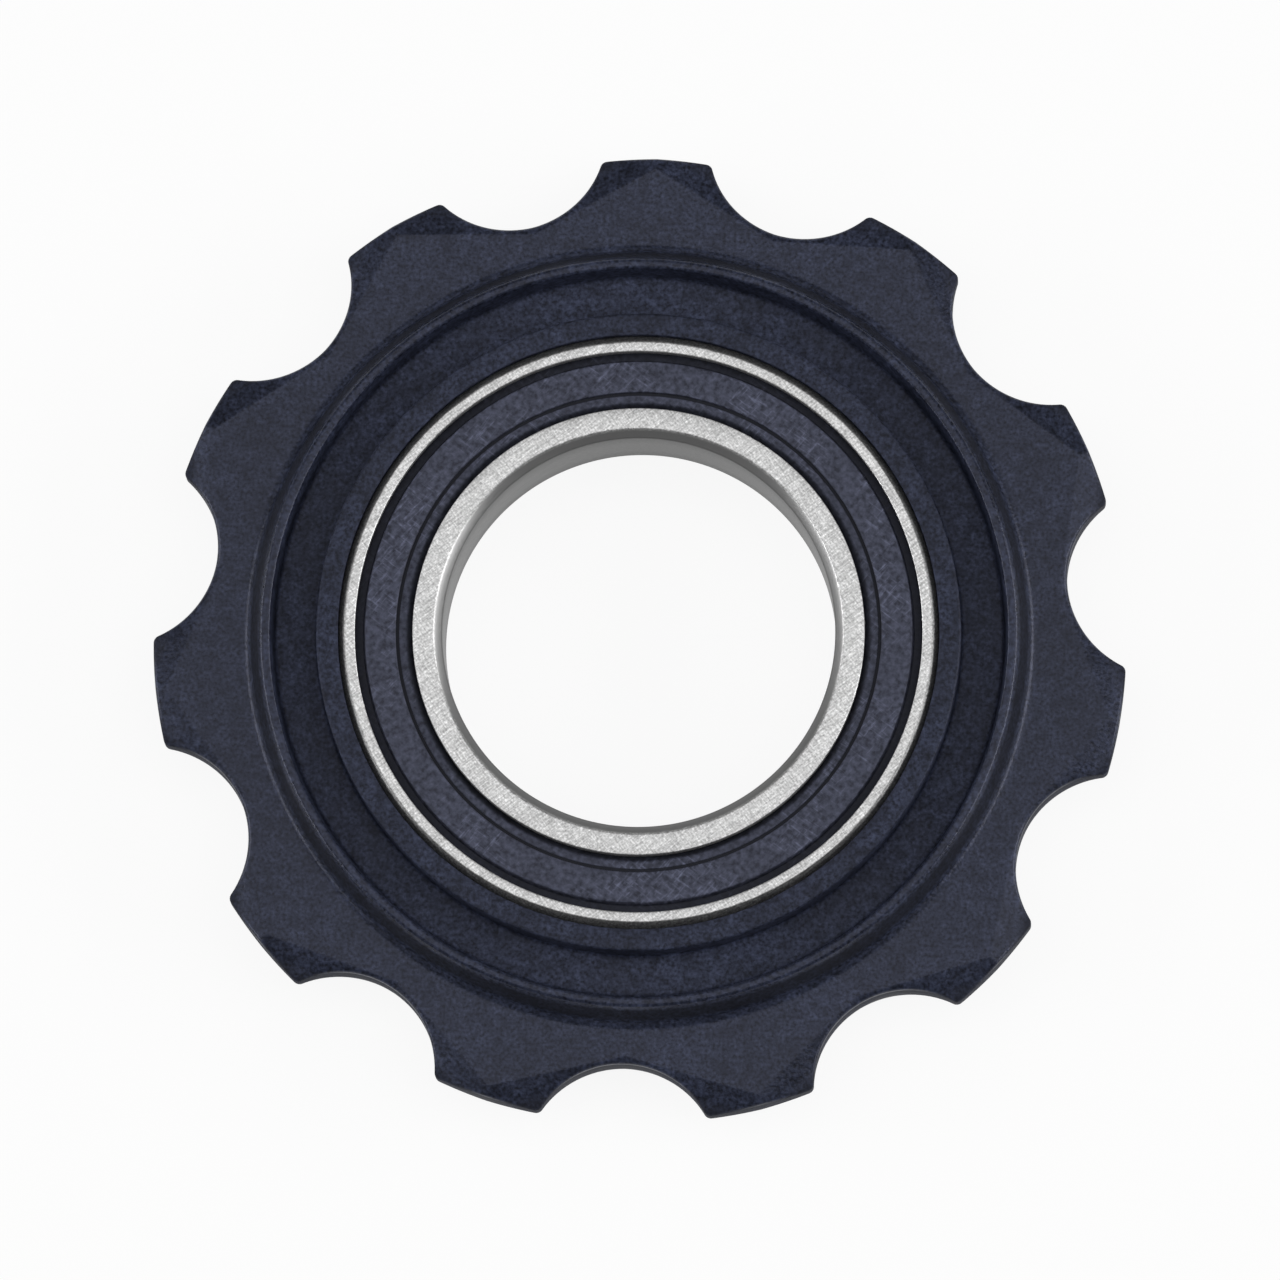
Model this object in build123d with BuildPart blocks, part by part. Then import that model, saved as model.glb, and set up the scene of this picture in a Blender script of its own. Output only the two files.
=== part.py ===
"""Eleven-tooth derailleur jockey wheel with a pressed-in, sealed, thin-section ball bearing.

Millimetres. The origin is the wheel's centre, on the bore axis and midway between the faces.
+Z runs along the bore axis and out of the front face, and one tooth points along +Y.
"""

import os
from math import asin, atan2, cos, hypot, radians, sin, sqrt, tan

from build123d import *

# Chain and teeth
tooth_count = 11
chain_pitch = 12.7
roller_diameter = 7.75
roller_clearance = 0.275
tip_diameter = 42.2
tip_corner_radius = 0.25
tooth_thickness = 2.1
gap_edge_chamfer = 0.2
bevel_angle = 19
bevel_ridge_length = 0.45

# Moulded wheel between the teeth and the bearing
collar_wall = 0.95
web_thickness = 2.0
rib_span = 4.9
rib_inner_diameter = 31.9
rib_top_width = 0.4
rib_inner_draft = 6
rib_outer_draft = 25
rib_foot_radius = 0.25
edge_break = 0.1

# Bearing rings and balls
bore_diameter = 17.0
bearing_diameter = 26.0
bearing_width = 5.0
ring_chamfer = 0.3
shoulder_chamfer = 0.05
ball_count = 14
ball_share = 0.5857
ball_play = 0.03
raceway_conformity = 0.52
raceway_depth = 0.45

# Ball cage
cage_wall = 1.3
pocket_clearance = 0.08
cage_seal_gap = 0.14
horn_height = 0.55
horn_gap = 0.9
horn_gap_depth = 1.1

# Seals and their grooves
seal_groove_wall = 0.58
seal_groove_width = 0.4
seal_snap = 0.15
seal_fit_clearance = 0.02
seal_recess = 0.15
seal_thickness = 0.45
seal_rim_width = 0.37
seal_rim_drop = 0.4
seal_rim_slope = 0.05
lip_clearance = 0.05
lip_width = 0.53
lip_drop = 0.1
lip_taper_width = 0.2
lip_taper_drop = 0.28
lip_groove_width = 0.14
lip_groove_depth = 0.16

# Teeth, worked out
tooth_angle = 360 / tooth_count
pitch_radius = chain_pitch / (2 * sin(radians(tooth_angle / 2)))
root_radius = pitch_radius - roller_diameter / 2
tip_radius = tip_diameter / 2
tooth_height = tip_radius - root_radius
tooth_face = tooth_thickness / 2
gap_radius = roller_diameter / 2 + roller_clearance
gap_centre_radius = root_radius + gap_radius
gap_start_angle = 90 + tooth_angle / 2

# Turned section of the wheel, worked out
seat_radius = bearing_diameter / 2
bearing_face = bearing_width / 2
collar_radius = seat_radius + collar_wall
web_face = web_thickness / 2
rib_top = rib_span / 2
rib_inner_radius = rib_inner_diameter / 2
rib_outer_radius = rib_inner_radius + rib_top_width
rib_inner_foot = rib_inner_radius - (rib_top - web_face) * tan(radians(rib_inner_draft))
rib_outer_foot = rib_outer_radius + (rib_top - tooth_face) * tan(radians(rib_outer_draft))
shoulder_end = rib_outer_foot + rib_foot_radius
moulded_edges = [
    (collar_radius, bearing_face),
    (rib_inner_radius, rib_top),
    (rib_outer_radius, rib_top),
]

# Bearing rings and balls, worked out: the balls fill a set share of the bearing's section
bore_radius = bore_diameter / 2
section_height = seat_radius - bore_radius
ball_diameter = ball_share * sqrt(section_height * bearing_width)
ball_radius = ball_diameter / 2
ball_circle_radius = (bore_radius + seat_radius) / 2
raceway_radius = raceway_conformity * ball_diameter
inner_raceway_bottom = ball_circle_radius - ball_radius - ball_play
outer_raceway_bottom = ball_circle_radius + ball_radius + ball_play
inner_shoulder_radius = inner_raceway_bottom + raceway_depth
outer_shoulder_radius = outer_raceway_bottom - raceway_depth

# Seals and cage, worked out
seal_groove_radius = seat_radius - seal_groove_wall
seal_mouth_radius = seal_groove_radius - seal_snap
seal_outer_face = bearing_face - seal_recess
seal_inner_face = seal_outer_face - seal_thickness
seal_rim_face = seal_outer_face - seal_rim_drop
seal_groove_top = seal_rim_face + seal_fit_clearance
seal_seat = seal_groove_top - seal_groove_width
seal_rim_radius = seal_groove_radius - seal_fit_clearance
seal_rim_foot = seal_mouth_radius - seal_rim_width
lip_radius = inner_shoulder_radius + lip_clearance
lip_face = seal_outer_face - lip_drop
lip_groove_inner = lip_radius + lip_width
lip_groove_outer = lip_groove_inner + lip_groove_width
lip_groove_floor = seal_outer_face - lip_groove_depth
pocket_radius = ball_radius + pocket_clearance
cage_back = seal_inner_face - cage_seal_gap
ball_angle = 360 / ball_count


# One tooth, from the middle of a gap to the middle of the next, made as a half and mirrored.
# A bevel's upper edge runs from the ridge on the tooth's middle to touch the chamfer round the gap.
half_tooth = radians(tooth_angle / 2)
gap_x = gap_centre_radius * sin(half_tooth)
gap_y = gap_centre_radius * cos(half_tooth)
gap_chamfer_radius = gap_radius + gap_edge_chamfer
bevel_ridge_radius = tip_radius - bevel_ridge_length
ridge_to_gap = hypot(gap_x, gap_y - bevel_ridge_radius)
bevel_slope = asin(gap_chamfer_radius / ridge_to_gap) - atan2(gap_y - bevel_ridge_radius, gap_x)
bevel_length = sqrt(ridge_to_gap**2 - gap_chamfer_radius**2)
bevel_drop = tooth_height * tan(radians(bevel_angle))
bevel_end_x = bevel_length * cos(bevel_slope)
bevel_end_y = bevel_ridge_radius - bevel_length * sin(bevel_slope)
bevel_end = Plane(
    origin=(bevel_end_x, bevel_end_y, 0),
    x_dir=(sin(bevel_slope), cos(bevel_slope), 0),
    z_dir=(-cos(bevel_slope), sin(bevel_slope), 0),
)

with BuildPart() as gap_edge_cutter:
    with BuildSketch(Plane.XZ):
        with BuildLine():
            Polyline(
                (0, tooth_face - gap_edge_chamfer),
                (gap_radius, tooth_face - gap_edge_chamfer),
                (gap_chamfer_radius + gap_edge_chamfer, tooth_face + gap_edge_chamfer),
                (0, tooth_face + gap_edge_chamfer),
                close=True,
            )
        make_face()
        mirror(about=Plane.XZ)
    revolve(axis=Axis.Z)

with BuildPart() as tooth:
    with BuildSketch(Plane.XY.offset(-tooth_face)) as tooth_outline:
        Circle(tip_radius)
        with Locations((gap_x, gap_y)):
            Circle(gap_radius, mode=Mode.SUBTRACT)
        fillet(tooth_outline.vertices(), radius=tip_corner_radius)
        Circle(rib_inner_radius, mode=Mode.SUBTRACT)
        with BuildLine():
            Polyline((0, 0), (0, tip_diameter), (2 * gap_x, 2 * gap_y), close=True)
        make_face(mode=Mode.INTERSECT)
    extrude(amount=tooth_thickness)
    with BuildSketch(bevel_end):
        with BuildLine():
            Polyline(
                (-tooth_height, tooth_face + bevel_drop),
                (tooth_height, tooth_face + bevel_drop),
                (tooth_height, tooth_face - bevel_drop),
                close=True,
            )
        make_face()
        mirror(about=Plane.XZ)
    extrude(amount=bevel_length + tooth_height, mode=Mode.SUBTRACT)
    with Locations((gap_x, gap_y)):
        add(gap_edge_cutter.part, mode=Mode.SUBTRACT)
    mirror(about=Plane.YZ)


# Moulded wheel: the teeth round a turned collar, web and pair of ribs
with BuildPart() as toothed_wheel:
    with PolarLocations(0, tooth_count):
        add(tooth.part)
    with BuildSketch(Plane.XZ) as wheel_section:
        with BuildLine():
            Polyline(
                (seat_radius, 0),
                (seat_radius, bearing_face),
                (collar_radius, bearing_face),
                (collar_radius, web_face),
                (rib_inner_foot, web_face),
                (rib_inner_radius, rib_top),
                (rib_outer_radius, rib_top),
                (rib_outer_foot, tooth_face),
                (shoulder_end, tooth_face),
                (shoulder_end, 0),
                close=True,
            )
        make_face()
        rib_foot = wheel_section.vertices().sort_by_distance((rib_outer_foot, tooth_face))[0]
        fillet(rib_foot, radius=rib_foot_radius)
        for corner in moulded_edges:
            chamfer(wheel_section.vertices().sort_by_distance(corner)[0], length=edge_break)
        mirror(about=Plane.XZ)
    revolve(axis=Axis.Z)
toothed_wheel.part.label = "toothed_wheel"


# Bearing rings, turned, with a raceway and, in the outer ring, two grooves for the seals
with BuildPart() as outer_ring:
    with BuildSketch(Plane.XZ):
        with BuildLine():
            Polyline(
                (outer_shoulder_radius, 0),
                (outer_shoulder_radius, seal_seat),
                (seal_groove_radius, seal_seat),
                (seal_groove_radius, seal_groove_top),
                (seal_mouth_radius, seal_groove_top),
                (seal_mouth_radius, bearing_face),
                (seat_radius - ring_chamfer, bearing_face),
                (seat_radius, bearing_face - ring_chamfer),
                (seat_radius, 0),
                close=True,
            )
        make_face()
        mirror(about=Plane.XZ)
        with Locations((outer_raceway_bottom - raceway_radius, 0)):
            Circle(raceway_radius, mode=Mode.SUBTRACT)
    revolve(axis=Axis.Z)
outer_ring.part.label = "outer_ring"

with BuildPart() as inner_ring:
    with BuildSketch(Plane.XZ):
        with BuildLine():
            Polyline(
                (bore_radius, 0),
                (bore_radius, bearing_face - ring_chamfer),
                (bore_radius + ring_chamfer, bearing_face),
                (inner_shoulder_radius - shoulder_chamfer, bearing_face),
                (inner_shoulder_radius, bearing_face - shoulder_chamfer),
                (inner_shoulder_radius, 0),
                close=True,
            )
        make_face()
        mirror(about=Plane.XZ)
        with Locations((inner_raceway_bottom + raceway_radius, 0)):
            Circle(raceway_radius, mode=Mode.SUBTRACT)
    revolve(axis=Axis.Z)
inner_ring.part.label = "inner_ring"


# Seals: a rim that snaps into the outer ring's groove, a raised face and a tapered running lip
with BuildPart() as front_seal:
    with BuildSketch(Plane.XZ):
        with BuildLine():
            Polyline(
                (seal_rim_radius, seal_seat),
                (seal_rim_radius, seal_rim_face),
                (seal_rim_foot, seal_rim_face),
                (seal_rim_foot - seal_rim_slope, seal_outer_face),
                (lip_groove_outer, seal_outer_face),
                (lip_groove_outer, lip_groove_floor),
                (lip_groove_inner, lip_groove_floor),
                (lip_groove_inner, lip_face),
                (lip_radius + lip_taper_width, lip_face),
                (lip_radius, lip_face - lip_taper_drop),
                (lip_radius, seal_inner_face),
                (outer_shoulder_radius, seal_inner_face),
                (outer_shoulder_radius, seal_seat),
                close=True,
            )
        make_face()
    revolve(axis=Axis.Z)
front_seal.part.label = "front_seal"

with BuildPart() as rear_seal:
    mirror(front_seal.part, about=Plane.XY)
rear_seal.part.label = "rear_seal"


# Cage: a ring with a round pocket drilled through for each ball, open to the front, and a slot
# between each two pockets that leaves a pair of springy horns round every ball
pocket_planes = [
    Plane(location * Plane.YZ.location)
    for location in PolarLocations(ball_circle_radius, ball_count, 90)
]
horn_gap_planes = [
    Plane(location * Plane.YZ.location)
    for location in PolarLocations(ball_circle_radius, ball_count, 90 + ball_angle / 2)
]

with BuildPart() as ball_cage:
    with BuildSketch(Plane.XY.offset(-cage_back)):
        Circle(ball_circle_radius + cage_wall / 2)
        Circle(ball_circle_radius - cage_wall / 2, mode=Mode.SUBTRACT)
    extrude(amount=cage_back + horn_height)
    with BuildSketch(*pocket_planes):
        Circle(pocket_radius)
    extrude(amount=cage_wall, both=True, mode=Mode.SUBTRACT)
    with BuildSketch(*horn_gap_planes):
        with Locations((0, horn_height)):
            SlotCenterToCenter(2 * horn_gap_depth - horn_gap, horn_gap, rotation=90)
    extrude(amount=cage_wall, both=True, mode=Mode.SUBTRACT)
ball_cage.part.label = "ball_cage"


os.makedirs("parts", exist_ok=True)
for piece in (toothed_wheel, outer_ring, inner_ring, front_seal, rear_seal, ball_cage):
    export_step(piece.part, f"parts/{piece.part.label}.step")

# Balls, one in each pocket of the cage
for index, location in enumerate(PolarLocations(ball_circle_radius, ball_count, 90), start=1):
    with BuildPart() as ball:
        with Locations(location):
            Sphere(ball_radius)
    ball.part.label = f"ball_{index:02d}"
    export_step(ball.part, f"parts/{ball.part.label}.step")
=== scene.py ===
"""Derailleur jockey wheel: a moulded toothed wheel round a sealed ball bearing, on a white floor."""

from math import acos, asin, atan2, cos, hypot, pi, radians, sin, tan

import bmesh
import bpy
from bpy.props import FloatProperty, FloatVectorProperty, IntProperty, PointerProperty
from mathutils import Matrix, Vector


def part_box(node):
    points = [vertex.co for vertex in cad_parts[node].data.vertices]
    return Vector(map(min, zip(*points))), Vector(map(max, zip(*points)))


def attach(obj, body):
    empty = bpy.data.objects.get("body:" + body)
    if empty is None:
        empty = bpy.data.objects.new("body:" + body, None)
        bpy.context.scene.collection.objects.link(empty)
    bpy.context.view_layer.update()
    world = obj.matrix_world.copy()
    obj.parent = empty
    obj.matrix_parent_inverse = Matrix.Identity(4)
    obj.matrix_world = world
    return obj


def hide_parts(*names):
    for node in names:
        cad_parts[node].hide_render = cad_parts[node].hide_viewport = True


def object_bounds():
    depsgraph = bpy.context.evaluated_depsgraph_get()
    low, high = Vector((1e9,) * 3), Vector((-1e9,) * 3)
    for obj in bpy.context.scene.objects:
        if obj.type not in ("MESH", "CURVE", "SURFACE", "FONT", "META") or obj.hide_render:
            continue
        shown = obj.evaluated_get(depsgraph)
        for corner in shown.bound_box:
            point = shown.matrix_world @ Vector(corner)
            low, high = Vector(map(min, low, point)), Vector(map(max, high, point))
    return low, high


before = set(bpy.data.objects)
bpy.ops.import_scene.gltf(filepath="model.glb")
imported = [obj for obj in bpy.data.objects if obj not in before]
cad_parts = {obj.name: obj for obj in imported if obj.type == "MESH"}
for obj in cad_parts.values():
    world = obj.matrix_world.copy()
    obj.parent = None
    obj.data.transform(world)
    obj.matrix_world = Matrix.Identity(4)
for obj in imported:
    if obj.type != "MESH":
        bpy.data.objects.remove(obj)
cad_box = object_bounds()

bl_info = {
    "name": "Jockey Wheel",
    "version": (1, 0, 0),
    "blender": (4, 5, 0),
    "location": "3D View > Sidebar > Jockey Wheel",
    "description": "Models and dresses a derailleur jockey wheel round its packed frame",
    "category": "Object",
}

MM = 0.001
MERGE = 0.001 * MM
NEAR = 10 * MERGE
TURN = 2 * pi
AXLE = (0, 0, 1)
RIGHT = Vector((1, 0, 0))
CENTRE = (0, 0, 0)

# How finely round shapes are divided
TURNED_STEPS = 220
RACEWAY_STEPS = 12
GAP_STEPS = 18
TIP_STEPS = 6
CORNER_STEPS = 4
HALF_TOOTH_STEPS = GAP_STEPS + TIP_STEPS + CORNER_STEPS
FOOT_STEPS = 6
BEARING_EDGE_STEPS = 3

# How far inside the bottoms of the gaps the teeth's mesh meets the rim's
JOIN_DEPTH = 1.0 * MM

# Each softbox's place and size in metres; the studio setting of the same name is its brightness
SOFTBOXES = {
    "top": ((0, 0.08, 1.0), (2.4, 0.76)),
    "shoulder": ((0.68, 0.02, 1.0), (0.6, 0.5)),
    "right": ((0.95, 0.0, 0.35), (0.9, 0.25)),
    "left": ((-0.95, -0.1, 0.35), (0.9, 0.25)),
    "back": ((0, 1.05, 0.3), (1.8, 0.35)),
}
FLOOR_SIZE = 6


def length(name, description, default):
    """A size in metres that shows in the sidebar."""
    return FloatProperty(
        name=name, description=description, default=default, unit="LENGTH", precision=5
    )


def angle(name, description, degrees):
    """An angle, given in degrees."""
    return FloatProperty(
        name=name, description=description, default=radians(degrees), subtype="ANGLE"
    )


def colour(name, description, default):
    """A linear colour."""
    return FloatVectorProperty(
        name=name, description=description, default=default, subtype="COLOR", min=0, max=1
    )


def share(name, description, default):
    """A number from 0 to 1."""
    return FloatProperty(
        name=name, description=description, default=default, min=0, max=1, subtype="FACTOR"
    )


def number(name, description, default):
    """A plain number."""
    return FloatProperty(name=name, description=description, default=default)


def least_radius(node):
    """The smallest distance from the axle of a node's surface, in metres."""
    return min(hypot(v.co.x, v.co.y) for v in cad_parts[node].data.vertices)


class WheelSizes(bpy.types.PropertyGroup):
    """The moulded wheel's teeth, rib and collar."""

    tooth_count: IntProperty(name="Teeth", description="Teeth round the wheel", default=11, min=5)
    chain_pitch: length("Chain pitch", "Distance between the chain's pins", 12.7 * MM)
    roller_diameter: length("Roller diameter", "Diameter of the chain's rollers", 7.75 * MM)
    roller_clearance: length("Roller clearance", "Room round a roller in its gap", 0.275 * MM)
    tip_corner: length("Tip corner", "How far back a tooth tip's corners are rounded", 0.2 * MM)
    tooth_thickness: length("Tooth thickness", "Thickness of the teeth", 2.1 * MM)
    bevel_angle: angle("Bevel angle", "Slope of the bevels on a tooth", 19)
    bevel_margin: length("Bevel margin", "Width of a bevel where it passes a gap", 0.2 * MM)
    ridge_length: length("Ridge length", "Length of the ridge between a tooth's two bevels", 0.45 * MM)
    tooth_round: length("Tooth edge round", "Rounding of the teeth's outer edges", 0.14 * MM)
    collar_wall: length("Collar wall", "Wall of the collar round the bearing", 0.95 * MM)
    collar_round: length("Collar edge round", "Rounding of the collar's edge", 0.12 * MM)
    web_thickness: length("Web thickness", "Thickness of the web between collar and rib", 2.0 * MM)
    groove_round: length("Groove corner", "Rounding at the foot of the groove's walls", 0.2 * MM)
    rib_span: length("Rib span", "Distance between the tops of the two ribs", 4.9 * MM)
    rib_inner_diameter: length("Rib inner diameter", "Inner diameter of a rib's top", 31.9 * MM)
    rib_top_width: length("Rib top width", "Width of a rib's top", 0.4 * MM)
    rib_round: length("Rib edge round", "Rounding of a rib's top edges", 0.13 * MM)
    rib_inner_draft: angle("Rib inner draft", "Lean of a rib's inner wall", 6)
    rib_outer_draft: angle("Rib outer draft", "Lean of a rib's outer wall", 25)
    rib_foot_radius: length("Rib foot radius", "Radius at the outer foot of a rib", 0.4 * MM)


class BearingSizes(bpy.types.PropertyGroup):
    """The bearing's rings and seals."""

    bore_radius: length("Bore radius", "Radius of the inner ring's bore", least_radius("inner_ring"))
    bore_chamfer: length("Bore chamfer", "Chamfer at the inner ring's bore", 0.38 * MM)
    ring_chamfer: length("Ring chamfer", "Chamfer at the outside of the outer ring", 0.3 * MM)
    ring_round: length("Ring edge round", "Rounding of the rings' edges", 0.05 * MM)
    raceway_radius: length("Raceway radius", "Radius of the raceways' section", 1.4447 * MM)
    raceway_depth: length("Raceway depth", "Depth of the raceways", 0.45 * MM)
    seal_clearance: length("Seal clearance", "Room between a seal's rim and its groove", 0.02 * MM)
    seal_snap: length("Seal snap", "How far the groove's mouth holds the seal", 0.15 * MM)
    seal_thickness: length("Seal thickness", "Thickness of a seal's raised face", 0.45 * MM)
    seal_round: length("Seal edge round", "Rounding of a seal's edges", 0.06 * MM)
    rim_width: length("Seal rim width", "Width of the step round a seal", 0.37 * MM)
    rim_drop: length("Seal rim drop", "Depth of the step round a seal", 0.4 * MM)
    lip_clearance: length("Lip clearance", "Room between a seal's lip and the inner ring", 0.01 * MM)
    lip_width: length("Seal lip width", "Width of a seal's running lip", 0.57 * MM)
    lip_drop: length("Seal lip drop", "How far the lip lies below the seal's face", 0.1 * MM)
    lip_taper_width: length("Lip taper width", "Width of the lip's tapered edge", 0.24 * MM)
    lip_taper_drop: length("Lip taper drop", "How far the lip's edge slopes down", 0.28 * MM)
    lip_groove_width: length("Lip groove width", "Width of the groove beside the lip", 0.14 * MM)
    lip_groove_depth: length("Lip groove depth", "Depth of the groove beside the lip", 0.16 * MM)


class Finishes(bpy.types.PropertyGroup):
    """Colours and gloss of the pieces."""

    plastic_colour: colour("Wheel plastic", "Colour of the moulded wheel", (0.0166, 0.0199, 0.0348))
    plastic_gloss: share("Wheel plastic gloss", "Strength of the wheel's reflections", 0.33)
    plastic_sheen: colour("Wheel plastic sheen", "Tint of the wheel's reflections", (0.76, 0.79, 1.0))
    groove_roughness: share("Groove roughness", "Roughness of the wheel inside the rib", 0.6)
    face_roughness: share("Face roughness", "Roughness of the wheel from the rib outwards", 0.34)
    rubber_colour: colour("Seal rubber", "Colour of the seals", (0.043, 0.0467, 0.069))
    rubber_sheen: colour("Seal rubber sheen", "Tint of the seals' reflections", (0.8, 0.83, 1.0))
    rubber_gloss: share("Seal rubber gloss", "Strength of the seals' reflections", 0.26)
    steel_colour: colour("Ring steel", "Colour of the ground ring faces", (0.515, 0.515, 0.515))
    ball_colour: colour("Ball steel", "Colour of the polished balls", (0.66, 0.66, 0.67))
    cage_colour: colour("Cage plastic", "Colour of the natural moulded cage", (0.62, 0.58, 0.48))


class StudioSettings(bpy.types.PropertyGroup):
    """Camera, light and floor."""

    view_sideways: number("View sideways", "Camera's shift to the right for each unit of height", 0.0338)
    view_back: number("View back", "Camera's shift to the front for each unit of height", 0.1598)
    view_turn: angle("View turn", "How far the picture is turned about the axle", 2.02)
    view_distance: length("View distance", "Distance from the camera to the wheel", 622 * MM)
    view_fill: share("View fill", "Share of the picture that the wheel fills", 0.76)
    top_light: number("Top light", "Brightness of the softbox overhead", 1.3)
    shoulder_light: number("Shoulder light", "Brightness of the softbox high at the right", 0.6)
    right_light: number("Right light", "Brightness of the softbox low at the right", 8.5)
    left_light: number("Left light", "Brightness of the softbox low at the left", 7.0)
    back_light: number("Back light", "Brightness of the softbox behind", 0.45)
    room_light: number("Room light", "Brightness of the room round the stage", 0.15)
    floor_white: share("Floor white", "How far the floor shows plain white, without shade", 0.9)
    floor_colour: colour("Floor colour", "Colour of the floor under the light", (0.86, 0.86, 0.86))


def at(distance, height, towards=RIGHT):
    """A place at a distance from the axle and a height above mid-plane, in a direction."""
    return towards * distance + Vector((0, 0, height))


def start_at(name, place):
    """Starts a piece as a single vertex at a place, and leaves it in edit mode."""
    bpy.ops.object.select_all(action="DESELECT")
    bpy.ops.mesh.primitive_plane_add(size=MM)
    piece = bpy.context.object
    piece.name = name
    piece.data.name = name
    bpy.ops.object.mode_set(mode="EDIT")
    bpy.ops.mesh.select_mode(type="VERT")
    bpy.ops.mesh.merge(type="CENTER")
    bpy.ops.transform.translate(value=place)
    return piece


def pen(piece):
    """Where the end of the line being drawn is."""
    return next(v.co.copy() for v in bmesh.from_edit_mesh(piece.data).verts if v.select)


def draw(piece, places):
    """Draws straight on through the places from the selected vertex."""
    for place in places:
        stroke = Vector(place) - pen(piece)
        bpy.ops.mesh.extrude_vertices_move(TRANSFORM_OT_translate={"value": stroke})


def choose(piece, mode, test):
    """Selects only the vertices, edges or faces that pass a test, and returns how many."""
    bpy.ops.mesh.select_mode(type=mode)
    bpy.ops.mesh.select_all(action="DESELECT")
    shape = bmesh.from_edit_mesh(piece.data)
    shape.normal_update()
    elements = {"VERT": shape.verts, "EDGE": shape.edges, "FACE": shape.faces}[mode]
    found = [element for element in elements if test(element)]
    for element in found:
        element.select_set(True)
    shape.select_flush_mode()
    bmesh.update_edit_mesh(piece.data)
    return len(found)


def round_corner(piece, place, reach, segments):
    """Rounds the corner of a drawn line at a place, from a reach along the line each side of it."""
    if choose(piece, "VERT", lambda v: (v.co - Vector(place)).length < MERGE) != 1:
        raise RuntimeError(f"{piece.name} has no corner at {tuple(place)}")
    bpy.ops.mesh.bevel(offset=reach, segments=segments, affect="VERTICES")


def close_up(piece):
    """Merges doubles, turns the faces outwards and leaves edit mode."""
    bpy.ops.mesh.select_mode(type="VERT")
    bpy.ops.mesh.select_all(action="SELECT")
    bpy.ops.mesh.remove_doubles(threshold=MERGE)
    bpy.ops.mesh.normals_make_consistent(inside=False)
    bpy.ops.object.mode_set(mode="OBJECT")


def modify(piece, kind, **settings):
    """Adds a modifier and applies it."""
    bpy.context.view_layer.objects.active = piece
    modifier = piece.modifiers.new(kind.title(), kind)
    for name, value in settings.items():
        setattr(modifier, name, value)
    bpy.ops.object.modifier_apply(modifier=modifier.name)


def mirror(piece, axis):
    """Completes a half across the plane through the centre that is square to an axis."""
    modify(
        piece,
        "MIRROR",
        use_axis=[letter == axis for letter in "XYZ"],
        use_mirror_merge=True,
        merge_threshold=MERGE,
    )


def smooth(piece, degrees):
    """Shades smooth up to an angle, with flat faces kept flat."""
    bpy.ops.object.select_all(action="DESELECT")
    piece.select_set(True)
    bpy.context.view_layer.objects.active = piece
    bpy.ops.object.shade_smooth_by_angle(angle=radians(degrees))
    modify(piece, "WEIGHTED_NORMAL", keep_sharp=True, weight=100)


def install(piece, node, body, material):
    """Puts a finished piece in a CAD node's place."""
    piece.data.materials.clear()
    piece.data.materials.append(material)
    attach(piece, body)
    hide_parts(node)


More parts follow.
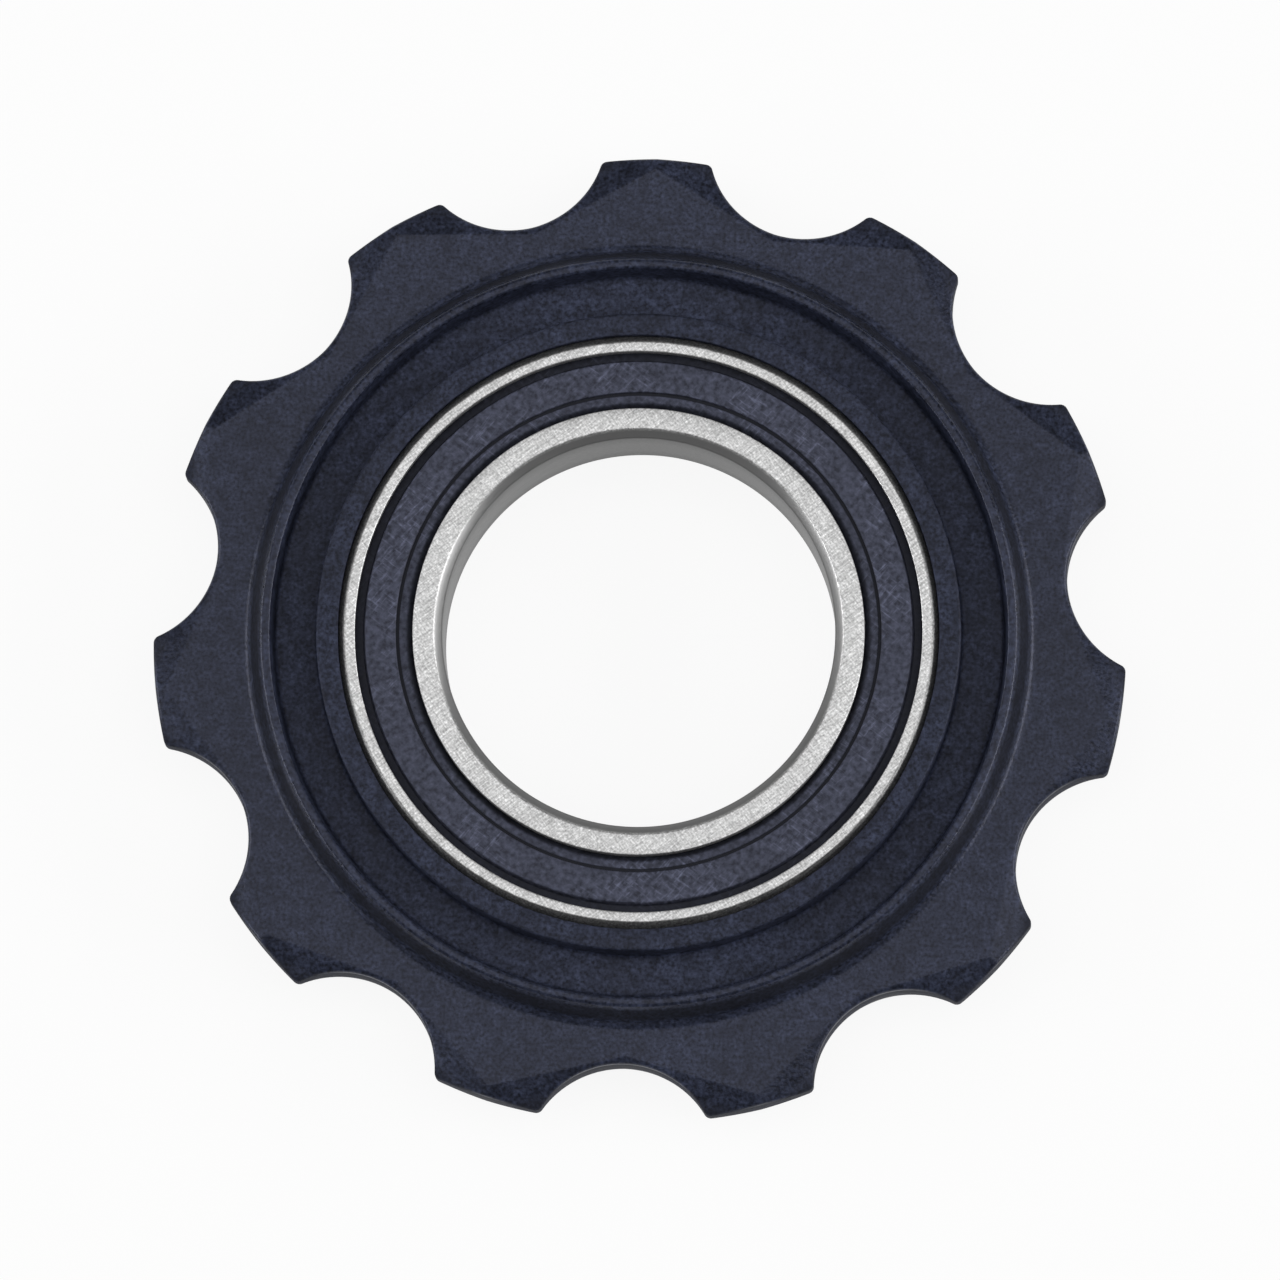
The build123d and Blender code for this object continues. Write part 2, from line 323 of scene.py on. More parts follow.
class NodeSheet:
    """A new material's node tree, with short calls to add nodes and link them."""

    def __init__(self, name):
        self.material = bpy.data.materials.new(name)
        self.material.use_nodes = True
        self.tree = self.material.node_tree
        self.shader = self.tree.nodes["Principled BSDF"]

    def add(self, kind, inputs=None, **settings):
        """Adds a node, sets its properties and inputs, and links inputs that are sockets."""
        node = self.tree.nodes.new(kind)
        for name, value in settings.items():
            setattr(node, name, value)
        for name, value in (inputs or {}).items():
            self.put(node.inputs[name], value)
        return node

    def put(self, socket, value):
        """Links an output socket to an input, or sets the input's value."""
        if isinstance(value, bpy.types.NodeSocket):
            self.tree.links.new(value, socket)
        else:
            socket.default_value = value

    def math(self, operation, *values):
        """One of Blender's operations on numbers, such as ADD or MAXIMUM."""
        node = self.add("ShaderNodeMath", dict(enumerate(values)), operation=operation)
        return node.outputs["Value"]

    def place(self):
        """The place on the object, in metres."""
        return self.add("ShaderNodeTexCoord").outputs["Object"]

    def noise(self, size, degrees=0.0, detail=3.0):
        """Noise with grains of a size in metres along X, Y and Z, turned about the axle."""
        mapping = self.add(
            "ShaderNodeMapping",
            {"Vector": self.place(), "Scale": size, "Rotation": (0, 0, radians(degrees))},
            vector_type="TEXTURE",
        )
        node = self.add(
            "ShaderNodeTexNoise",
            {"Vector": mapping.outputs["Vector"], "Scale": 1.0, "Detail": detail},
        )
        return node.outputs["Fac"]

    def grains(self, size, detail=3.0):
        """Even noise with grains of one size in metres."""
        return self.noise((size, size, size), detail=detail)

    def radius(self):
        """The distance from the axle, in metres."""
        flat = self.add("ShaderNodeVectorMath", {0: self.place(), 1: (1, 1, 0)}, operation="MULTIPLY")
        node = self.add("ShaderNodeVectorMath", {0: flat.outputs["Vector"]}, operation="LENGTH")
        return node.outputs["Value"]

    def height(self):
        """The distance from the wheel's mid-plane, in metres."""
        node = self.add("ShaderNodeSeparateXYZ", {"Vector": self.place()})
        return self.math("ABSOLUTE", node.outputs["Z"])

    def spread(self, value, low, high, start=0.3, end=0.7):
        """Runs from low to high as a value goes from start to end."""
        node = self.add(
            "ShaderNodeMapRange",
            {"Value": value, "From Min": start, "From Max": end, "To Min": low, "To Max": high},
        )
        return node.outputs["Result"]

    def band(self, value, tone, start, end, soft):
        """A tone while a value lies between start and end, and 1 outside, with soft ends."""
        enter = self.spread(value, 1.0, tone, start - soft / 2, start + soft / 2)
        leave = self.spread(value, 1.0, 1 / tone, end - soft / 2, end + soft / 2)
        return self.times(enter, leave)

    def times(self, *values):
        """The product of values."""
        product = values[0]
        for value in values[1:]:
            product = self.math("MULTIPLY", product, value)
        return product

    def tint(self, colour, *tones):
        """A colour made lighter or darker by the product of tones."""
        scale = self.times(*tones)
        node = self.add("ShaderNodeVectorMath", {0: colour, "Scale": scale}, operation="SCALE")
        return node.outputs["Vector"]

    def bump(self, height, strength, distance):
        """Bump from a height, on the shader's normal."""
        node = self.add(
            "ShaderNodeBump", {"Height": height, "Strength": strength, "Distance": distance}
        )
        self.put(self.shader.inputs["Normal"], node.outputs["Normal"])

    def finish(self, **inputs):
        """Sets or links the shader's inputs, named with _ for spaces."""
        for name, value in inputs.items():
            self.put(self.shader.inputs[name.replace("_", " ")], value)
        return self.material


def corner_angle(first, second, opposite):
    """The angle between two sides of a triangle, from its three sides."""
    return acos((first**2 + second**2 - opposite**2) / (2 * first * second))


class ToothForm:
    """The teeth's outline and bevels, worked out from the wheel's sizes."""

    def __init__(self, sizes):
        self.pitch_angle = TURN / sizes.tooth_count
        half = self.pitch_angle / 2
        self.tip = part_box("toothed_wheel")[1].y
        self.face = sizes.tooth_thickness / 2
        pitch_radius = sizes.chain_pitch / (2 * sin(half))
        self.root = pitch_radius - sizes.roller_diameter / 2
        self.join = self.root - JOIN_DEPTH
        self.gap = sizes.roller_diameter / 2 + sizes.roller_clearance
        gap_radius = self.root + self.gap
        self.to_gap = Vector((sin(half), cos(half), 0))
        self.gap_centre = self.to_gap * gap_radius
        self.gap_sweep = corner_angle(gap_radius, self.gap, self.tip)
        self.tip_sweep = half - corner_angle(gap_radius, self.tip, self.gap)
        to_corner = Vector((sin(self.tip_sweep), cos(self.tip_sweep), 0))
        self.corner = at(self.tip, self.face, to_corner)
        self.ridge = Vector((0, self.tip - sizes.ridge_length, self.face))
        across = self.gap_centre - self.ridge
        passing = self.gap + sizes.bevel_margin
        slope = asin(passing / hypot(across.x, across.y)) - atan2(across.y, across.x)
        self.downhill = Vector((sin(slope), cos(slope), 0))
        self.bevel_normal = at(sin(sizes.bevel_angle), cos(sizes.bevel_angle), self.downhill)

    def off_bevel(self, place):
        """How far a place lies outside the upper edge of the nearer bevel."""
        return (Vector((abs(place.x), place.y, self.face)) - self.ridge).dot(self.downhill)


class RimForm:
    """The section of the turned collar, groove and rib, worked out from the wheel's sizes."""

    def __init__(self, sizes):
        self.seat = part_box("outer_ring")[1].x
        self.collar_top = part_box("outer_ring")[1].z
        self.collar = self.seat + sizes.collar_wall
        self.web = sizes.web_thickness / 2
        self.tooth_face = sizes.tooth_thickness / 2
        self.rib_top = sizes.rib_span / 2
        self.rib_inner = sizes.rib_inner_diameter / 2
        self.rib_outer = self.rib_inner + sizes.rib_top_width
        self.inner_foot = self.rib_inner - (self.rib_top - self.web) * tan(sizes.rib_inner_draft)
        rise = self.rib_top - self.tooth_face
        self.outer_foot = self.rib_outer + rise * tan(sizes.rib_outer_draft)
        self.foot_reach = sizes.rib_foot_radius * tan((pi / 2 - sizes.rib_outer_draft) / 2)


def moulded_plastic(finishes, rim):
    """Near-black grained plastic: paler and dull in the groove, satin beyond, with painted shade on the
    rib's outer slope and on the tooth walls.
    """
    groove = (rim.collar, rim.rib_inner - 0.25 * MM)
    rib_wall = (rim.rib_inner - 0.15 * MM, rim.rib_inner - 0.03 * MM)
    rib_edge = (rim.rib_outer - 0.11 * MM, rim.rib_outer + 0.11 * MM)
    rib_slope = (rim.rib_outer + 0.13 * MM, rim.outer_foot - 0.163 * MM)
    tooth_wall = (rim.tooth_face - 0.45 * MM, rim.tooth_face - 0.25 * MM)

    sheet = NodeSheet("moulded_black_plastic")
    grain = sheet.grains(0.15 * MM)
    mottle = sheet.grains(0.45 * MM)
    cloud = sheet.grains(2.5 * MM, detail=4.0)
    radius = sheet.radius()
    height = sheet.height()
    roughness = sheet.times(
        sheet.spread(radius, finishes.groove_roughness, finishes.face_roughness, *rib_wall),
        sheet.band(radius, 0.8, *rib_edge, soft=0.1 * MM),
        sheet.band(radius, 2.2, *rib_slope, soft=0.08 * MM),
        sheet.spread(height, 2.2, 1.0, *tooth_wall),
        sheet.spread(cloud, 0.9, 1.1),
    )
    shade = sheet.times(
        sheet.band(radius, 1.3, *groove, soft=0.1 * MM),
        # Painted shade on the rib's outer slope
        sheet.band(radius, 0.35, *rib_slope, soft=0.1 * MM),
        # Painted shade on the tooth walls
        sheet.spread(height, 0.5, 1.0, *tooth_wall),
    )
    sheet.bump(grain, strength=0.5, distance=0.04 * MM)
    return sheet.finish(
        Base_Color=sheet.tint(
            finishes.plastic_colour,
            sheet.spread(grain, 0.2, 1.8),
            sheet.spread(mottle, 0.6, 1.4),
            sheet.spread(cloud, 0.75, 1.25),
            shade,
        ),
        Roughness=roughness,
        Specular_IOR_Level=finishes.plastic_gloss,
        Specular_Tint=(*finishes.plastic_sheen, 1),
    )


def model_tooth(sizes, form):
    """One tooth's upper half, from gap to gap: a half is drawn, walled, cut and mirrored."""
    face = Vector((0, 0, form.face))
    tooth = start_at("tooth", at(form.root, form.face, form.to_gap))
    bpy.ops.mesh.spin(steps=GAP_STEPS, angle=form.gap_sweep, center=form.gap_centre, axis=AXLE)
    bpy.ops.mesh.spin(steps=TIP_STEPS, angle=-form.tip_sweep, center=CENTRE, axis=AXLE)
    round_corner(tooth, form.corner, sizes.tip_corner, CORNER_STEPS)

    bpy.ops.mesh.select_all(action="DESELECT")
    bpy.ops.mesh.primitive_plane_add(size=MM)
    bpy.ops.mesh.merge(type="CENTER")
    bpy.ops.transform.translate(value=at(form.join, form.face, form.to_gap))
    bpy.ops.mesh.spin(steps=HALF_TOOTH_STEPS, angle=-form.pitch_angle / 2, center=CENTRE, axis=AXLE)
    bpy.ops.mesh.select_all(action="SELECT")
    bpy.ops.mesh.bridge_edge_loops()

    def is_outline(edge):
        return edge.is_boundary and all(v.co.xy.length > form.join + NEAR for v in edge.verts)

    choose(tooth, "EDGE", is_outline)
    bpy.ops.mesh.extrude_edges_move(TRANSFORM_OT_translate={"value": -face})
    bpy.ops.mesh.select_all(action="SELECT")
    bpy.ops.mesh.bisect(
        plane_co=form.ridge, plane_no=form.bevel_normal, clear_outer=True, threshold=MERGE / 10
    )
    bpy.ops.mesh.bridge_edge_loops()
    close_up(tooth)
    mirror(tooth, "X")
    return tooth


def round_tooth(tooth, sizes, form):
    """Rounds a tooth's outer edges, and less so its ridge and the upper edges of its bevels."""
    # How far a face's normal may rise on a wall, and has to rise on a top
    wall_rise = 0.1
    top_rise = 0.5

    def is_outer(edge):
        rises = sorted(abs(f.normal.z) for f in edge.link_faces)
        return len(rises) == 2 and rises[0] < wall_rise and rises[1] > top_rise

    def is_bevel_line(edge):
        return all(
            abs(v.co.z - form.face) < NEAR and abs(form.off_bevel(v.co)) < NEAR for v in edge.verts
        )

    def is_ridge(edge):
        in_middle = all(abs(v.co.x) < NEAR and form.off_bevel(v.co) > -NEAR for v in edge.verts)
        return in_middle and all(f.normal.z > top_rise for f in edge.link_faces)

    bpy.ops.object.mode_set(mode="EDIT")
    for test, weight in ((is_outer, 1.0), (is_bevel_line, 0.4), (is_ridge, 0.6)):
        choose(tooth, "EDGE", test)
        bpy.ops.transform.edge_bevelweight(value=weight)
    bpy.ops.object.mode_set(mode="OBJECT")
    modify(
        tooth,
        "BEVEL",
        width=sizes.tooth_round,
        segments=CORNER_STEPS,
        limit_method="WEIGHT",
        use_clamp_overlap=False,
    )


def model_wheel_section(sizes, form, rim):
    """One tooth's share of the turned collar, groove and rib, from mid-plane to the tooth face."""

    def on_section(distance, height):
        return at(distance, height, form.to_gap)

    corners = [
        (on_section(rim.seat, rim.collar_top), sizes.collar_round / 2, CORNER_STEPS // 2),
        (on_section(rim.collar, rim.collar_top), sizes.collar_round, CORNER_STEPS),
        (on_section(rim.collar, rim.web), sizes.groove_round, CORNER_STEPS),
        (on_section(rim.inner_foot, rim.web), sizes.groove_round, CORNER_STEPS),
        (on_section(rim.rib_inner, rim.rib_top), sizes.rib_round, CORNER_STEPS),
        (on_section(rim.rib_outer, rim.rib_top), sizes.rib_round, CORNER_STEPS),
        (on_section(rim.outer_foot, rim.tooth_face), rim.foot_reach, FOOT_STEPS),
    ]
    section = start_at("toothed_rim", on_section(rim.seat, 0))
    draw(section, [place for place, _, _ in corners])
    draw(section, [on_section(form.join, rim.tooth_face)])
    for place, reach, segments in corners:
        round_corner(section, place, reach, segments)
    bpy.ops.mesh.select_all(action="SELECT")
    bpy.ops.mesh.spin(steps=2 * HALF_TOOTH_STEPS, angle=-form.pitch_angle, center=CENTRE, axis=AXLE)
    close_up(section)
    return section


class JOCKEY_OT_toothed_wheel(bpy.types.Operator):
    """Model the moulded wheel with its teeth, rib and collar"""

    bl_idname = "jockey.toothed_wheel"
    bl_label = "Toothed Wheel"

    def execute(self, context):
        sizes = context.scene.jockey_wheel
        form = ToothForm(sizes)
        rim = RimForm(sizes)
        tooth = model_tooth(sizes, form)
        round_tooth(tooth, sizes, form)
        wheel = model_wheel_section(sizes, form, rim)
        tooth.select_set(True)
        wheel.select_set(True)
        context.view_layer.objects.active = wheel
        bpy.ops.object.join()
        mirror(wheel, "Z")
        bpy.ops.object.mode_set(mode="EDIT")
        bpy.ops.mesh.select_all(action="SELECT")
        copies = sizes.tooth_count - 1
        bpy.ops.mesh.spin(
            steps=copies, dupli=True, angle=copies * form.pitch_angle, center=CENTRE, axis=AXLE
        )
        close_up(wheel)
        smooth(wheel, degrees=40)
        plastic = moulded_plastic(context.scene.jockey_finish, rim)
        install(wheel, "toothed_wheel", "wheel", plastic)
        return {"FINISHED"}


def turned(name, lines, corners, arc=None):
    """A turned piece: a section drawn at the right of the axle, its corners rounded, spun round it."""
    piece = start_at(name, lines[0])
    if arc:
        sweep, centre = arc
        bpy.ops.mesh.spin(steps=RACEWAY_STEPS, angle=sweep, center=centre, axis=(0, 1, 0))
    draw(piece, lines[1:])
    for place, reach in corners:
        round_corner(piece, place, reach, BEARING_EDGE_STEPS)
    bpy.ops.mesh.select_all(action="SELECT")
    bpy.ops.mesh.spin(steps=TURNED_STEPS, angle=TURN, center=CENTRE, axis=AXLE)
    close_up(piece)
    return piece


def ground_steel(finishes, sizes):
    """Steel with the crossing scratches of grinding on its faces, with painted shade in the bore and on
    the outer chamfer.
    """
    face_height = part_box("inner_ring")[1].z
    bore_edge = sizes.bore_radius + sizes.bore_chamfer
    outer_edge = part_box("outer_ring")[1].x - sizes.ring_chamfer

    sheet = NodeSheet("ground_ring_steel")
    rising = sheet.noise((0.9 * MM, 0.07 * MM, 0.06 * MM), degrees=38)
    falling = sheet.noise((0.7 * MM, 0.06 * MM, 0.06 * MM), degrees=-52)
    speck = sheet.grains(0.1 * MM)
    radius = sheet.radius()
    face = sheet.times(
        sheet.spread(rising, 0.72, 1.28),
        sheet.spread(falling, 0.8, 1.2),
        sheet.spread(speck, 0.65, 1.35),
        # Painted shade on the outer ring's outer chamfer, where it meets the collar
        sheet.spread(radius, 1.0, 0.3, outer_edge - 0.04 * MM, outer_edge + 0.02 * MM),
    )
    # Painted shade in the bore and on its chamfer, darker towards each face
    bore = sheet.times(
        sheet.spread(sheet.height(), 0.52, 0.34, face_height - 1.7 * MM, face_height - 0.3 * MM),
        sheet.spread(radius, 1.0, 1.55, sizes.bore_radius + 0.02 * MM, sizes.bore_radius + 0.08 * MM),
    )
    past_bore = sheet.spread(radius, 0.0, 1.0, bore_edge - 0.1 * MM, bore_edge)
    tone = sheet.add("ShaderNodeMix", {"Factor": past_bore, "A": bore, "B": face}).outputs["Result"]
    sheet.bump(sheet.times(rising, past_bore), strength=0.25, distance=0.01 * MM)
    return sheet.finish(
        Base_Color=sheet.tint(finishes.steel_colour, tone),
        Metallic=0.75,
        Roughness=sheet.spread(rising, 0.28, 0.42),
        Specular_Tint=(0.45, 0.45, 0.45, 1),
    )


class JOCKEY_OT_bearing_rings(bpy.types.Operator):
    """Model the bearing's steel rings, with raceways and seal grooves"""

    bl_idname = "jockey.bearing_rings"
    bl_label = "Bearing Rings"

    def execute(self, context):
        sizes = context.scene.jockey_bearing
        steel = ground_steel(context.scene.jockey_finish, sizes)
        sweep = acos(1 - sizes.raceway_depth / sizes.raceway_radius)
        inner = self.model_inner_ring(sizes, sweep)
        install(inner, "inner_ring", "hub", steel)
        outer = self.model_outer_ring(sizes, sweep)
        install(outer, "outer_ring", "wheel", steel)
        return {"FINISHED"}

    def model_inner_ring(self, sizes, sweep):
        """The ring round the bore, with its raceway outside."""
        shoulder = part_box("inner_ring")[1].x
        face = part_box("inner_ring")[1].z
        bottom = shoulder - sizes.raceway_depth
        bore = sizes.bore_radius
        lines = [
            at(bottom, 0),
            at(shoulder, face),
            at(bore + sizes.bore_chamfer, face),
            at(bore, face - sizes.bore_chamfer),
            at(bore, 0),
        ]
        raceway = (-sweep, at(bottom + sizes.raceway_radius, 0))
        return self.complete("bearing_inner_ring", lines, raceway, sizes)

    def model_outer_ring(self, sizes, sweep):
        """The ring in the wheel's collar, with its raceway and two seal grooves inside."""
        shoulder = least_radius("outer_ring")
        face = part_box("outer_ring")[1].z
        bottom = shoulder + sizes.raceway_depth
        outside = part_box("outer_ring")[1].x
        seal_low, seal_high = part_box("front_seal")
        groove = seal_high.x + sizes.seal_clearance
        groove_top = seal_high.z - sizes.rim_drop + sizes.seal_clearance
        mouth = groove - sizes.seal_snap
        lines = [
            at(bottom, 0),
            at(shoulder, seal_low.z),
            at(groove, seal_low.z),
            at(groove, groove_top),
            at(mouth, groove_top),
            at(mouth, face),
            at(outside - sizes.ring_chamfer, face),
            at(outside, face - sizes.ring_chamfer),
            at(outside, 0),
        ]
        raceway = (sweep, at(bottom - sizes.raceway_radius, 0))
        return self.complete("bearing_outer_ring", lines, raceway, sizes)

    @staticmethod
    def complete(name, lines, raceway, sizes):
        """A whole ring from the drawn section of its upper half, rounded at each turn of the line."""
        corners = [(place, sizes.ring_round) for place in lines[1:-1]]
        ring = turned(name, lines, corners, raceway)
        mirror(ring, "Z")
        smooth(ring, degrees=30)
        return ring


class SealForm:
    """The section of the front seal, worked out from the bearing's sizes."""

    def __init__(self, sizes):
        low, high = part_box("front_seal")
        self.rim = high.x
        self.seat = low.z
        self.face = high.z
        self.inner_face = high.z - sizes.seal_thickness
        self.rim_face = high.z - sizes.rim_drop
        self.rim_foot = high.x + sizes.seal_clearance - sizes.seal_snap - sizes.rim_width
        self.shoulder = least_radius("outer_ring")
        self.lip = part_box("inner_ring")[1].x + sizes.lip_clearance
        self.lip_end = self.lip + sizes.lip_width
        self.lip_face = high.z - sizes.lip_drop
        self.groove_end = self.lip_end + sizes.lip_groove_width
        self.groove_floor = high.z - sizes.lip_groove_depth


def seal_rubber(finishes, form):
    """Satin black rubber with faint wipe marks, with painted shade in the step at its rim, on its lip
    and in the groove beside the lip.
    """
    rim_step = (form.rim_foot - 0.04 * MM, form.rim_foot + 0.02 * MM)
    lip_slope = (form.lip + 0.16 * MM, form.lip + 0.31 * MM)
    lip_groove = (form.lip_end, form.groove_end)
    face_edge = (form.groove_end - 0.02 * MM, form.groove_end + 0.02 * MM)
    lip_tone = 0.9

    sheet = NodeSheet("satin_black_rubber")
    grain = sheet.grains(0.22 * MM)
    falling = sheet.noise((1.2 * MM, 0.12 * MM, 1.2 * MM), degrees=-35)
    rising = sheet.noise((0.9 * MM, 0.1 * MM, 0.9 * MM), degrees=50)
    patches = sheet.grains(3.0 * MM, detail=2.0)
    radius = sheet.radius()
    marks = sheet.times(
        sheet.spread(sheet.math("MAXIMUM", falling, rising), 0.0, 1.2, 0.54, 0.72),
        sheet.spread(patches, 0.0, 1.0, 0.4, 0.6),
    )
    # Painted shade on the lip, darkest at its tapered edge next to the inner ring, and darkest of all in
    # the groove beside the lip
    lip = sheet.times(
        sheet.spread(radius, 0.25, lip_tone, *lip_slope),
        sheet.spread(radius, 1.0, 1 / lip_tone, *face_edge),
        sheet.band(radius, 0.1, *lip_groove, soft=0.04 * MM),
    )
    sheet.bump(grain, strength=0.4, distance=0.025 * MM)
    return sheet.finish(
        Base_Color=sheet.tint(
            finishes.rubber_colour,
            sheet.spread(grain, 0.4, 1.6),
            sheet.math("ADD", marks, 1.0),
            # Painted shade in the step round the seal's rim
            sheet.spread(radius, 1.0, 0.25, *rim_step),
            lip,
        ),
        Roughness=sheet.spread(grain, 0.45, 0.6),
        Specular_IOR_Level=finishes.rubber_gloss,
        Specular_Tint=(*finishes.rubber_sheen, 1),
    )


class JOCKEY_OT_seals(bpy.types.Operator):
    """Model the front seal and a mirrored rear seal"""

    bl_idname = "jockey.seals"
    bl_label = "Seals"

    def execute(self, context):
        sizes = context.scene.jockey_bearing
        form = SealForm(sizes)
        rubber = seal_rubber(context.scene.jockey_finish, form)
        front = self.model_front_seal(sizes, form)
        rear = self.model_rear_seal(context, front)
        for seal, node in ((front, "front_seal"), (rear, "rear_seal")):
            smooth(seal, degrees=30)
            install(seal, node, "wheel", rubber)
        return {"FINISHED"}

    @staticmethod
    def model_front_seal(sizes, form):
        """A rim that snaps into the outer ring, a raised face, a groove and a tapered running lip."""
        sharp = 0
        soft = sizes.seal_round
        turns = [
            (at(form.rim, form.seat), sharp),
            (at(form.rim, form.rim_face), soft),
            (at(form.rim_foot, form.rim_face), soft),
            (at(form.rim_foot - sizes.seal_round, form.face), soft),
            (at(form.groove_end, form.face), soft),
            (at(form.groove_end, form.groove_floor), sharp),
            (at(form.lip_end, form.groove_floor), sharp),
            (at(form.lip_end, form.lip_face), soft),
            (at(form.lip + sizes.lip_taper_width, form.lip_face), soft),
            (at(form.lip, form.lip_face - sizes.lip_taper_drop), sharp),
            (at(form.lip, form.inner_face), sharp),
            (at(form.shoulder, form.inner_face), sharp),
            (at(form.shoulder, form.seat), sharp),
        ]
        lines = [place for place, _ in turns]
        corners = [(place, reach) for place, reach in turns if reach > sharp]
        return turned("seal_front", [*lines, lines[0]], corners)

    @staticmethod
    def model_rear_seal(context, front):
        """A copy of the front seal, turned over through mid-plane."""
        bpy.ops.object.select_all(action="DESELECT")
        front.select_set(True)
        bpy.ops.object.duplicate()
        rear = context.object
        rear.name = "seal_rear"
        rear.data.name = "seal_rear"
        bpy.ops.object.mode_set(mode="EDIT")
        bpy.ops.mesh.select_all(action="SELECT")
        bpy.ops.transform.resize(value=(1, 1, -1), center_override=CENTRE)
        close_up(rear)
        return rear


def polished_steel(finishes):
    """Bright, polished ball steel."""
    sheet = NodeSheet("polished_ball_steel")
    haze = sheet.grains(0.3 * MM, detail=2.0)
    return sheet.finish(
        Base_Color=sheet.tint(finishes.ball_colour, sheet.spread(haze, 0.96, 1.04)),
        Metallic=1.0,
        Roughness=sheet.spread(haze, 0.06, 0.1),
    )


def natural_plastic(finishes):
    """Uncoloured moulded cage plastic, slightly waxy."""
    sheet = NodeSheet("natural_cage_plastic")
    grain = sheet.grains(0.25 * MM)
    sheet.bump(grain, strength=0.2, distance=0.02 * MM)
    return sheet.finish(
        Base_Color=sheet.tint(finishes.cage_colour, sheet.spread(grain, 0.9, 1.08)),
        Roughness=sheet.spread(grain, 0.4, 0.5),
    )


class JOCKEY_OT_cage_and_balls(bpy.types.Operator):
    """Give the cage and the balls their finishes"""

    bl_idname = "jockey.cage_and_balls"
    bl_label = "Cage and Balls"

    def execute(self, context):
        finishes = context.scene.jockey_finish
        polished = polished_steel(finishes)
        for name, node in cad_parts.items():
            if name == "ball_cage":
                self.dress(node, natural_plastic(finishes))
            elif name.startswith("ball_"):
                self.dress(node, polished)
        return {"FINISHED"}

    @staticmethod
    def dress(node, material):
        node.data.materials.clear()
        node.data.materials.append(material)


def seen_directly(sheet):
    """1 for rays that show the background: straight, mirrored or through glass."""
    rays = sheet.add("ShaderNodeLightPath").outputs
    straight_or_mirrored = sheet.math("MAXIMUM", rays["Is Camera Ray"], rays["Is Glossy Ray"])
    return sheet.math("MAXIMUM", straight_or_mirrored, rays["Is Transmission Ray"])


def white_floor(studio):
    """A white floor that shows white and keeps a soft shadow."""
    sheet = NodeSheet("white_floor")
    shown_white = sheet.math("MULTIPLY", seen_directly(sheet), studio.floor_white)
    glow = sheet.add("ShaderNodeEmission", {"Color": (1, 1, 1, 1), "Strength": 1.0})
    mix = sheet.add("ShaderNodeMixShader", {"Fac": shown_white})
    sheet.put(mix.inputs[1], sheet.shader.outputs["BSDF"])
    sheet.put(mix.inputs[2], glow.outputs["Emission"])
    sheet.put(sheet.tree.nodes["Material Output"].inputs["Surface"], mix.outputs["Shader"])
    return sheet.finish(Base_Color=(*studio.floor_colour, 1), Roughness=0.9)


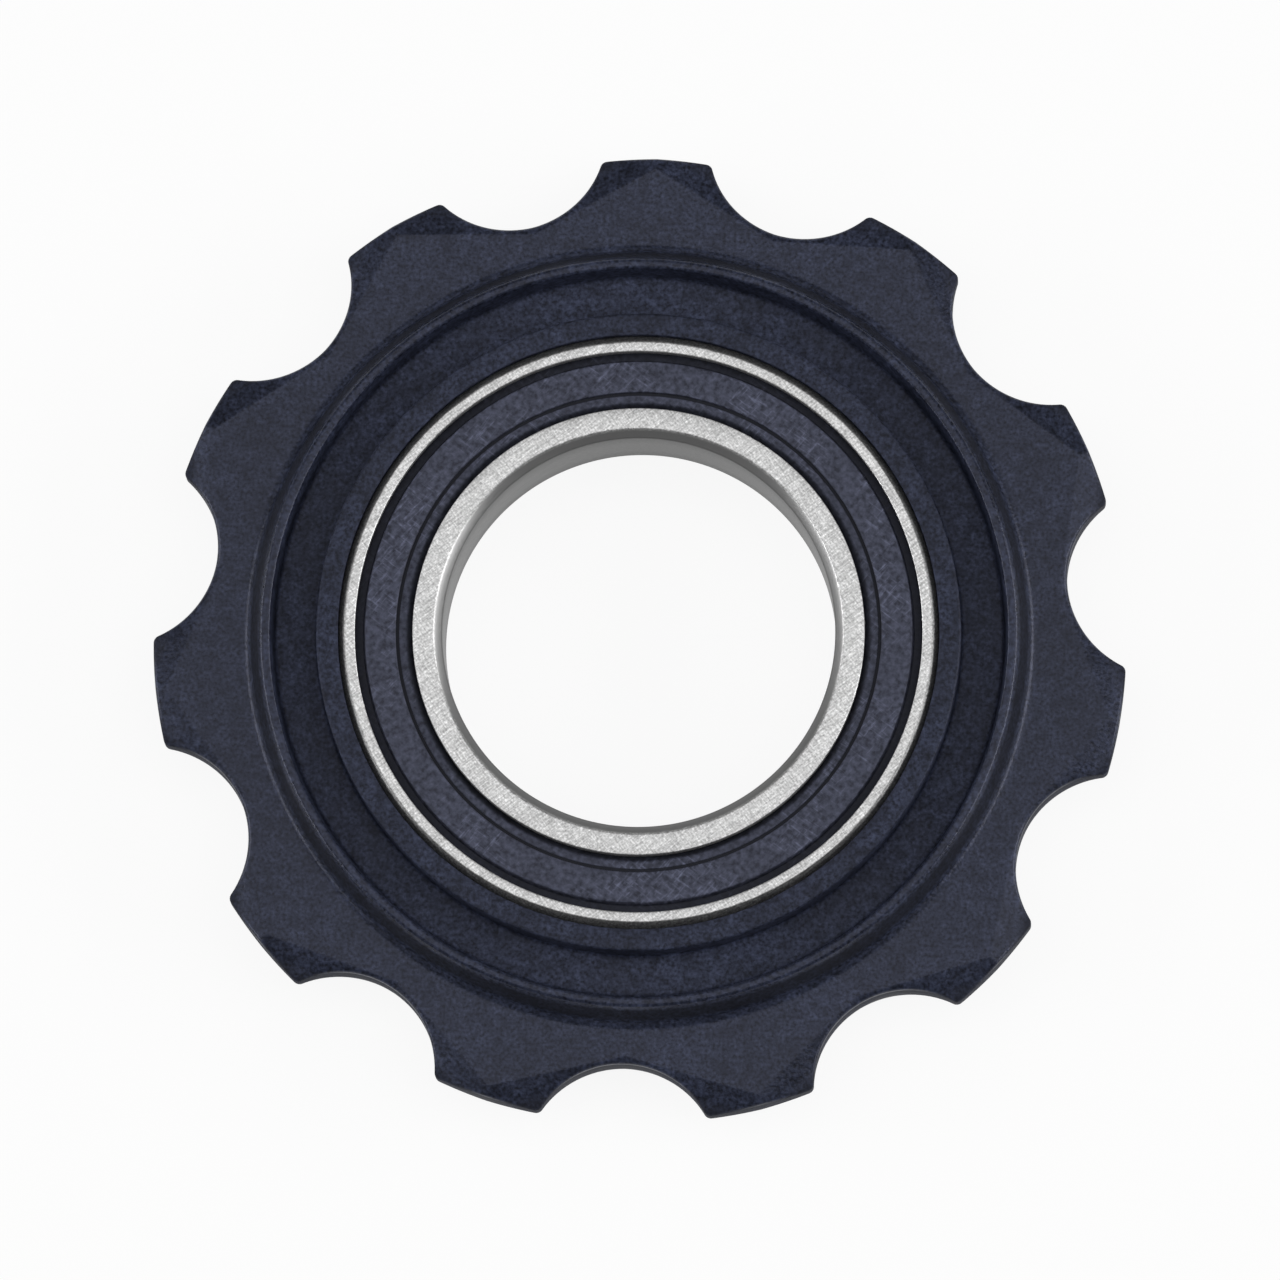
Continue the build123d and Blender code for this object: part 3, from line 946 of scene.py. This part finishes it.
class JOCKEY_OT_stage(bpy.types.Operator):
    """Set up the floor, the room, the softboxes and the camera"""

    bl_idname = "jockey.stage"
    bl_label = "Stage"

    def execute(self, context):
        studio = context.scene.jockey_studio
        self.add_floor(studio)
        self.add_room(context.scene, studio)
        for side, (place, size) in SOFTBOXES.items():
            self.add_softbox(f"{side}_softbox", place, size, getattr(studio, f"{side}_light"))
        self.add_camera(context.scene, studio)
        context.scene.view_settings.view_transform = "Standard"
        return {"FINISHED"}

    @staticmethod
    def add_floor(studio):
        bpy.ops.object.select_all(action="DESELECT")
        bpy.ops.mesh.primitive_plane_add(size=FLOOR_SIZE, location=(0, 0, cad_box[0].z))
        floor = bpy.context.object
        floor.name = "floor"
        floor.data.materials.append(white_floor(studio))

    @staticmethod
    def add_room(scene, studio):
        scene.world = bpy.data.worlds.new("room")
        scene.world.use_nodes = True
        background = scene.world.node_tree.nodes["Background"]
        background.inputs["Color"].default_value = (1, 1, 1, 1)
        background.inputs["Strength"].default_value = studio.room_light

    @staticmethod
    def add_softbox(name, place, size, brightness):
        bpy.ops.object.light_add(type="AREA", location=place)
        box = bpy.context.object
        box.name = name
        box.data.shape = "RECTANGLE"
        box.data.size, box.data.size_y = size
        box.data.energy = brightness * pi * size[0] * size[1]
        box.rotation_euler = Vector(place).to_track_quat("Z", "Y").to_euler()
        box.visible_camera = False

    @staticmethod
    def add_camera(scene, studio):
        back = Vector((studio.view_sideways, -studio.view_back, 1)).normalized()
        up = Vector((-sin(studio.view_turn), cos(studio.view_turn), 0))
        up = (up - back * up.dot(back)).normalized()
        axes = Matrix((up.cross(back), up, back)).transposed()
        bpy.ops.object.camera_add()
        camera = bpy.context.object
        camera.name = "camera"
        camera.matrix_world = Matrix.Translation(back * studio.view_distance) @ axes.to_4x4()
        width = 2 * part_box("toothed_wheel")[1].y / studio.view_fill
        camera.data.lens = camera.data.sensor_width * studio.view_distance / width
        scene.camera = camera


class JOCKEY_PT_sidebar(bpy.types.Panel):
    """Lists the steps that build the wheel, and its sizes and finishes"""

    bl_label = "Jockey Wheel"
    bl_idname = "JOCKEY_PT_sidebar"
    bl_space_type = "VIEW_3D"
    bl_region_type = "UI"
    bl_category = "Jockey Wheel"

    def draw(self, context):
        for step in STEPS:
            self.layout.operator(step.bl_idname)
        for pointer, group in GROUPS.items():
            box = self.layout.box()
            for name in group.__annotations__:
                box.prop(getattr(context.scene, pointer), name)


GROUPS = {
    "jockey_wheel": WheelSizes,
    "jockey_bearing": BearingSizes,
    "jockey_finish": Finishes,
    "jockey_studio": StudioSettings,
}
STEPS = (
    JOCKEY_OT_toothed_wheel,
    JOCKEY_OT_bearing_rings,
    JOCKEY_OT_seals,
    JOCKEY_OT_cage_and_balls,
    JOCKEY_OT_stage,
)


def register():
    for kind in (*GROUPS.values(), *STEPS, JOCKEY_PT_sidebar):
        bpy.utils.register_class(kind)
    for pointer, group in GROUPS.items():
        setattr(bpy.types.Scene, pointer, PointerProperty(type=group))


def unregister():
    for pointer in GROUPS:
        delattr(bpy.types.Scene, pointer)
    for kind in (JOCKEY_PT_sidebar, *reversed(STEPS), *reversed(GROUPS.values())):
        bpy.utils.unregister_class(kind)


def main():
    register()
    bpy.ops.jockey.toothed_wheel()
    bpy.ops.jockey.bearing_rings()
    bpy.ops.jockey.seals()
    bpy.ops.jockey.cage_and_balls()
    bpy.ops.jockey.stage()


if __name__ == "__main__":
    main()
